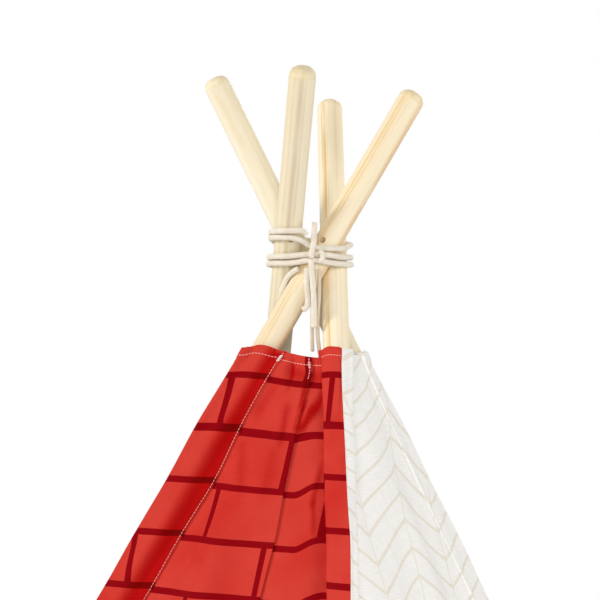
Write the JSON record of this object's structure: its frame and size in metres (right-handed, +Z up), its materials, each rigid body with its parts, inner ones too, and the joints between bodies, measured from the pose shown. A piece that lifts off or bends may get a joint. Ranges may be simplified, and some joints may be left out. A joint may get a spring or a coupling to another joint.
{
  "type": "kids teepee",
  "caption": "Child's play teepee of crossed wooden poles lashed with cotton cord, with a canvas cover in brick and herringbone prints and overlapping door curtains.",
  "frame": {"origin": "on the floor, midway between the four feet", "axes": "+Z up, the door faces -Y, +X is the right-hand side seen from the door"},
  "size_m": [1.0913, 1.0914, 1.5932],
  "materials": {
    "pine": "sanded, unvarnished",
    "steel": "plain",
    "rubber": "matt",
    "red_canvas": "cotton canvas, brick print",
    "white_canvas": "cotton canvas, herringbone print",
    "cotton_cord": "braided cotton"
  },
  "bodies": {
    "back_left": {"pole_upper_back_left": "pine", "pole_lower_back_left": "pine", "joint_pin_back_left": "steel", "foot_cap_back_left": "rubber", "pocket_back_left": "white_canvas", "wall_left": "white_canvas", "wall_back": "red_canvas", "lashing_winding": "cotton_cord", "lashing_knot": "cotton_cord", "tail_up": "cotton_cord", "tail_front": "cotton_cord", "tail_hook": "cotton_cord", "tail_back": "cotton_cord", "tail_inside": "cotton_cord", "tail_side": "cotton_cord"},
    "front_left": {"pole_upper_front_left": "pine", "pole_lower_front_left": "pine", "joint_pin_front_left": "steel", "foot_cap_front_left": "rubber", "pocket_front_left": "red_canvas", "front_upper_left": "red_canvas"},
    "back_right": {"pole_upper_back_right": "pine", "pole_lower_back_right": "pine", "joint_pin_back_right": "steel", "foot_cap_back_right": "rubber", "pocket_back_right": "white_canvas", "wall_right": "white_canvas"},
    "front_right": {"pole_upper_front_right": "pine", "pole_lower_front_right": "pine", "joint_pin_front_right": "steel", "foot_cap_front_right": "rubber", "pocket_front_right": "red_canvas", "front_upper_right": "red_canvas"},
    "door_left": {"door_curtain_left": "red_canvas"},
    "door_right": {"door_curtain_right": "red_canvas"}
  },
  "joints": [
    {"name": "fold_back", "type": "hinge", "parent": "back_left", "child": "back_right", "pos_m": [-0.01728, 0.00908, 1.39613], "axis": [0.0273, 0.9369, 0.3486], "range_deg": [0, 34], "deforming": ["wall_back", "pocket_back_left", "pocket_back_right", "lashing_winding", "lashing_knot", "tail_up", "tail_front", "tail_hook", "tail_back", "tail_inside", "tail_side"]},
    {"name": "fold_left", "type": "hinge", "parent": "back_left", "child": "front_left", "pos_m": [-0.00676, -0.00232, 1.37958], "axis": [0.9351, -0.0269, -0.3534], "range_deg": [0, 34], "deforming": ["wall_left", "pocket_front_left", "front_upper_left"]},
    {"name": "fold_right", "type": "hinge", "parent": "back_right", "child": "front_right", "pos_m": [0.00687, 0.03191, 1.37929], "axis": [0.9349, -0.0269, 0.3539], "range_deg": [0, 34], "deforming": ["wall_right", "pocket_front_right", "front_upper_right"]},
    {"name": "door_left_swing", "type": "hinge", "parent": "front_left", "child": "door_left", "pos_m": [-0.49216, -0.5427, 0.006], "axis": [-0.3421, -0.3375, -0.877], "range_deg": [0, 100], "deforming": ["door_curtain_left"]},
    {"name": "door_right_swing", "type": "hinge", "parent": "front_right", "child": "door_right", "pos_m": [0.5073, -0.54257, 0.006], "axis": [-0.3211, 0.3539, 0.8785], "range_deg": [0, 100], "deforming": ["door_curtain_right"]}
  ],
  "couplings": [
    {"joint": "fold_left", "follows": "fold_back", "ratio": 1},
    {"joint": "fold_right", "follows": "fold_back", "ratio": 1}
  ]
}
